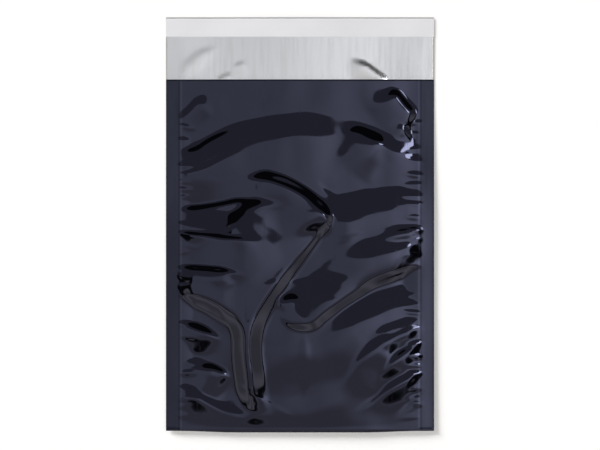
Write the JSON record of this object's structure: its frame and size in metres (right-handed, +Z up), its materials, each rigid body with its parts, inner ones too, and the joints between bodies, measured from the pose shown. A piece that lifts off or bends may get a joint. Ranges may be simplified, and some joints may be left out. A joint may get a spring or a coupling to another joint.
{
  "type": "poly mailer bag",
  "caption": "Flat mailing bag of glossy metallised film, folded at the bottom, welded down both sides, with a closing flap and a covered adhesive strip.",
  "frame": {"origin": "middle of the bag's outline, on the surface that its back lies on", "axes": "+X across the bag, +Y from the folded bottom to the closing flap, +Z up out of the front panel"},
  "size_m": [0.25, 0.387, 0.0115],
  "materials": {
    "film": "glossy metallised film, near black outside and silver inside",
    "adhesive": "tacky pressure-sensitive adhesive",
    "liner": "white siliconised liner, satin"
  },
  "bodies": {
    "root": {"bag_film": "film", "adhesive_strip": "adhesive", "release_liner": "liner"}
  },
  "joints": []
}
